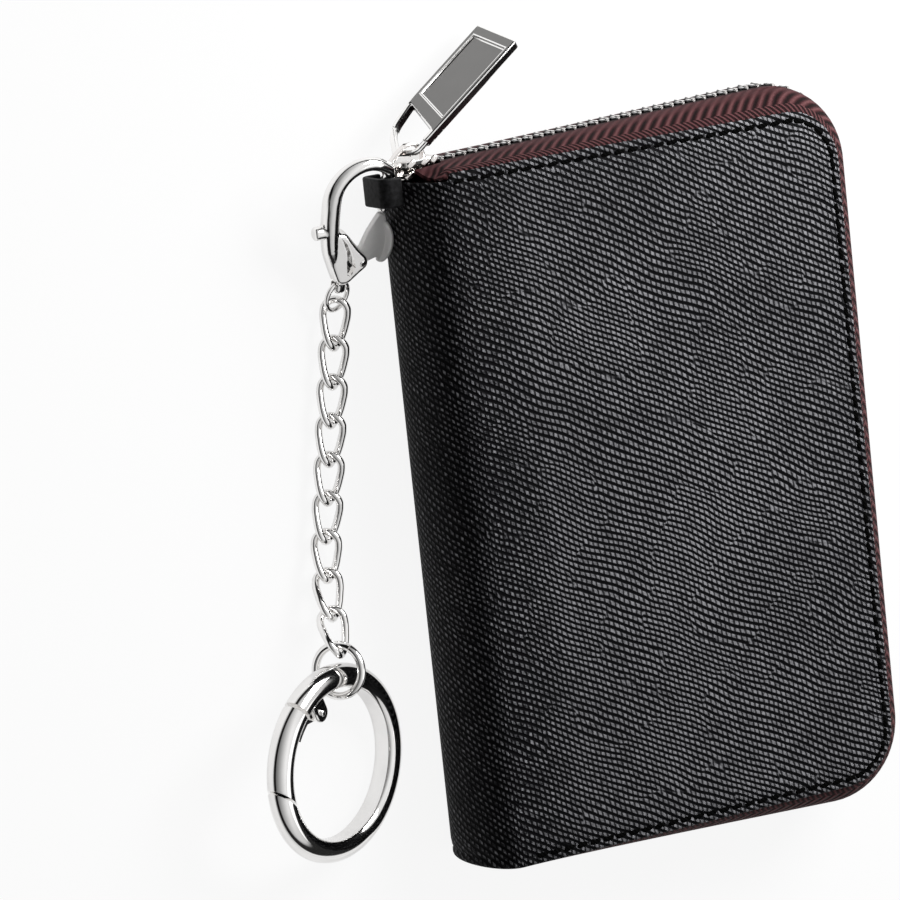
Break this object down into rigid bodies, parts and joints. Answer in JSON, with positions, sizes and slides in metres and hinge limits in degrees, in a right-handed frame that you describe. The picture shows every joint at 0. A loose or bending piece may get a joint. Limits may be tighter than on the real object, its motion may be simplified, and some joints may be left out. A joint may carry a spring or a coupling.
{
  "type": "zip card wallet",
  "caption": "Black leather zip-round card wallet with a pull tab, an accordion of card leaves, and a clasp, curb chain and sprung key ring on a hang loop.",
  "frame": {"origin": "middle of the back cover's flat outer face, which lies on the table", "axes": "+X from the spine to the mouth, +Y to the end where the zip slider parks, +Z from the back cover to the front cover"},
  "size_m": [0.1138, 0.1337, 0.02],
  "materials": {
    "black_leather": "grained, semi-matt",
    "brown_lining": "smooth leather-look lining",
    "stiffener_board": "plain card",
    "zip_tape": "woven herringbone",
    "zip_metal": "plated",
    "polished_metal": "polished plate",
    "brushed_metal": "satin plate"
  },
  "bodies": {
    "back_half": {"back_cover": "black_leather", "back_board": "stiffener_board", "back_lining": "brown_lining", "spine_leather": "black_leather", "hang_loop": "black_leather", "gusset_top": "brown_lining", "gusset_bottom": "brown_lining", "back_zip_tape": "zip_tape", "back_zip_teeth": "zip_metal", "zip_bottom_stop": "zip_metal"},
    "front_half": {"front_cover": "black_leather", "front_board": "stiffener_board", "front_lining": "brown_lining", "front_zip_tape": "zip_tape", "front_zip_teeth": "zip_metal"},
    "leaf_01": {"card_leaf_01": "brown_lining"},
    "leaf_02": {"card_leaf_02": "brown_lining"},
    "leaf_03": {"card_leaf_03": "brown_lining"},
    "leaf_04": {"card_leaf_04": "brown_lining"},
    "leaf_05": {"card_leaf_05": "brown_lining"},
    "leaf_06": {"card_leaf_06": "brown_lining"},
    "leaf_07": {"card_leaf_07": "brown_lining"},
    "leaf_08": {"card_leaf_08": "brown_lining"},
    "leaf_09": {"card_leaf_09": "brown_lining"},
    "leaf_10": {"card_leaf_10": "brown_lining"},
    "leaf_11": {"card_leaf_11": "brown_lining"},
    "leaf_12": {"card_leaf_12": "brown_lining"},
    "slider": {"slider_body": "zip_metal"},
    "tab": {"pull_tab": "brushed_metal"},
    "clasp": {"clasp_body": "polished_metal", "trigger_pin": "polished_metal"},
    "trigger": {"clasp_trigger": "polished_metal"},
    "jump_ring": {"jump_ring": "polished_metal"},
    "chain_link_1": {"chain_link_1": "polished_metal"},
    "chain_link_2": {"chain_link_2": "polished_metal"},
    "chain_link_3": {"chain_link_3": "polished_metal"},
    "chain_link_4": {"chain_link_4": "polished_metal"},
    "chain_link_5": {"chain_link_5": "polished_metal"},
    "chain_link_6": {"chain_link_6": "polished_metal"},
    "chain_link_7": {"chain_link_7": "polished_metal"},
    "chain_link_8": {"chain_link_8": "polished_metal"},
    "chain_link_9": {"chain_link_9": "polished_metal"},
    "end_ring": {"end_ring": "polished_metal"},
    "ring": {"key_ring": "polished_metal", "gate_pin": "polished_metal"},
    "gate": {"key_ring_gate": "polished_metal"}
  },
  "joints": [
    {"name": "cover_hinge", "type": "hinge", "parent": "back_half", "child": "front_half", "pos_m": [-0.04, 0, 0.01], "axis": [0, -1, 0], "range_deg": [0, 65], "deforming": ["spine_leather"]},
    {"name": "leaf_01_hinge", "type": "hinge", "parent": "back_half", "child": "leaf_01", "pos_m": [-0.04, 0, 0.01], "axis": [0, -1, 0], "range_deg": [0, 14.6]},
    {"name": "leaf_02_hinge", "type": "hinge", "parent": "back_half", "child": "leaf_02", "pos_m": [-0.04, 0, 0.01], "axis": [0, -1, 0], "range_deg": [0, 17.67]},
    {"name": "leaf_03_hinge", "type": "hinge", "parent": "back_half", "child": "leaf_03", "pos_m": [-0.04, 0, 0.01], "axis": [0, -1, 0], "range_deg": [0, 20.9]},
    {"name": "leaf_04_hinge", "type": "hinge", "parent": "back_half", "child": "leaf_04", "pos_m": [-0.04, 0, 0.01], "axis": [0, -1, 0], "range_deg": [0, 24.26]},
    {"name": "leaf_05_hinge", "type": "hinge", "parent": "back_half", "child": "leaf_05", "pos_m": [-0.04, 0, 0.01], "axis": [0, -1, 0], "range_deg": [0, 27.72]},
    {"name": "leaf_06_hinge", "type": "hinge", "parent": "back_half", "child": "leaf_06", "pos_m": [-0.04, 0, 0.01], "axis": [0, -1, 0], "range_deg": [0, 31.23]},
    {"name": "leaf_07_hinge", "type": "hinge", "parent": "back_half", "child": "leaf_07", "pos_m": [-0.04, 0, 0.01], "axis": [0, -1, 0], "range_deg": [0, 34.77]},
    {"name": "leaf_08_hinge", "type": "hinge", "parent": "back_half", "child": "leaf_08", "pos_m": [-0.04, 0, 0.01], "axis": [0, -1, 0], "range_deg": [0, 38.28]},
    {"name": "leaf_09_hinge", "type": "hinge", "parent": "back_half", "child": "leaf_09", "pos_m": [-0.04, 0, 0.01], "axis": [0, -1, 0], "range_deg": [0, 41.74]},
    {"name": "leaf_10_hinge", "type": "hinge", "parent": "back_half", "child": "leaf_10", "pos_m": [-0.04, 0, 0.01], "axis": [0, -1, 0], "range_deg": [0, 45.1]},
    {"name": "leaf_11_hinge", "type": "hinge", "parent": "back_half", "child": "leaf_11", "pos_m": [-0.04, 0, 0.01], "axis": [0, -1, 0], "range_deg": [0, 48.33]},
    {"name": "leaf_12_hinge", "type": "hinge", "parent": "back_half", "child": "leaf_12", "pos_m": [-0.04, 0, 0.01], "axis": [0, -1, 0], "range_deg": [0, 51.4]},
    {"name": "slider_run", "type": "slide", "parent": "back_half", "child": "slider", "axis": [0.999, 0.0449, 0], "range_m": [0, 0.052]},
    {"name": "tab_swing", "type": "hinge", "parent": "slider", "child": "tab", "pos_m": [-0.0371, 0.05778, 0.01], "axis": [-0.6202, -0.0279, -0.7839], "range_deg": [-78, 32]},
    {"name": "clasp_hang", "type": "hinge", "parent": "back_half", "child": "clasp", "pos_m": [-0.0415, 0.05185, 0.01], "axis": [1, 0, 0], "range_deg": [-40, 4]},
    {"name": "trigger_turn", "type": "hinge", "parent": "clasp", "child": "trigger", "pos_m": [-0.0453, 0.04242, 0.00562], "axis": [0, -0.4215, 0.9068], "range_deg": [0, 17], "stiffness_Nm_per_rad": 0.002, "springref_deg": -8.59},
    {"name": "jump_ring_hang", "type": "hinge", "parent": "clasp", "child": "jump_ring", "pos_m": [-0.0481, 0.03888, 0.00397], "axis": [1, 0, 0], "range_deg": [-12, 12]},
    {"name": "chain_link_1_hang", "type": "hinge", "parent": "jump_ring", "child": "chain_link_1", "pos_m": [-0.04797, 0.03528, 0.00195], "axis": [-0.986, 0.1668, 0], "range_deg": [-12, 12]},
    {"name": "chain_link_2_hang", "type": "hinge", "parent": "chain_link_1", "child": "chain_link_2", "pos_m": [-0.04898, 0.0293, 0.00195], "axis": [0.986, -0.1668, 0], "range_deg": [-20, 20]},
    {"name": "chain_link_3_hang", "type": "hinge", "parent": "chain_link_2", "child": "chain_link_3", "pos_m": [-0.04999, 0.02334, 0.00195], "axis": [-0.986, 0.1668, 0], "range_deg": [-20, 20]},
    {"name": "chain_link_4_hang", "type": "hinge", "parent": "chain_link_3", "child": "chain_link_4", "pos_m": [-0.051, 0.01737, 0.00195], "axis": [0.986, -0.1668, 0], "range_deg": [-20, 20]},
    {"name": "chain_link_5_hang", "type": "hinge", "parent": "chain_link_4", "child": "chain_link_5", "pos_m": [-0.05201, 0.01141, 0.00195], "axis": [-0.986, 0.1668, 0], "range_deg": [-20, 20]},
    {"name": "chain_link_6_hang", "type": "hinge", "parent": "chain_link_5", "child": "chain_link_6", "pos_m": [-0.05302, 0.00544, 0.00195], "axis": [0.986, -0.1668, 0], "range_deg": [-20, 20]},
    {"name": "chain_link_7_hang", "type": "hinge", "parent": "chain_link_6", "child": "chain_link_7", "pos_m": [-0.05403, -0.00053, 0.00184], "axis": [-0.986, 0.1668, 0], "range_deg": [-20, 20]},
    {"name": "chain_link_8_hang", "type": "hinge", "parent": "chain_link_7", "child": "chain_link_8", "pos_m": [-0.05503, -0.00647, 0.00255], "axis": [0.986, -0.1668, 0], "range_deg": [-20, 20]},
    {"name": "chain_link_9_hang", "type": "hinge", "parent": "chain_link_8", "child": "chain_link_9", "pos_m": [-0.056, -0.01218, 0.00436], "axis": [-0.986, 0.1668, 0], "range_deg": [-20, 20]},
    {"name": "end_ring_hang", "type": "hinge", "parent": "chain_link_9", "child": "end_ring", "pos_m": [-0.05686, -0.01729, 0.00763], "axis": [0.986, -0.1668, 0], "range_deg": [-9, 9]},
    {"name": "key_ring_hang", "type": "hinge", "parent": "end_ring", "child": "ring", "pos_m": [-0.05807, -0.02439, 0.00763], "axis": [0.5655, -0.0957, 0.8192], "range_deg": [-20, 20]},
    {"name": "gate_turn", "type": "hinge", "parent": "ring", "child": "gate", "pos_m": [-0.06358, -0.02545, 0.00997], "axis": [0.401, -0.0678, 0.9135], "range_deg": [0, 25], "stiffness_Nm_per_rad": 0.004, "springref_deg": -8.59}
  ],
  "couplings": [
    {"joint": "leaf_01_hinge", "follows": "cover_hinge", "ratio": 0.2169},
    {"joint": "leaf_02_hinge", "follows": "cover_hinge", "ratio": 0.2641},
    {"joint": "leaf_03_hinge", "follows": "cover_hinge", "ratio": 0.3139},
    {"joint": "leaf_04_hinge", "follows": "cover_hinge", "ratio": 0.3656},
    {"joint": "leaf_05_hinge", "follows": "cover_hinge", "ratio": 0.4188},
    {"joint": "leaf_06_hinge", "follows": "cover_hinge", "ratio": 0.4728},
    {"joint": "leaf_07_hinge", "follows": "cover_hinge", "ratio": 0.5272},
    {"joint": "leaf_08_hinge", "follows": "cover_hinge", "ratio": 0.5812},
    {"joint": "leaf_09_hinge", "follows": "cover_hinge", "ratio": 0.6344},
    {"joint": "leaf_10_hinge", "follows": "cover_hinge", "ratio": 0.6861},
    {"joint": "leaf_11_hinge", "follows": "cover_hinge", "ratio": 0.7359},
    {"joint": "leaf_12_hinge", "follows": "cover_hinge", "ratio": 0.7831}
  ]
}
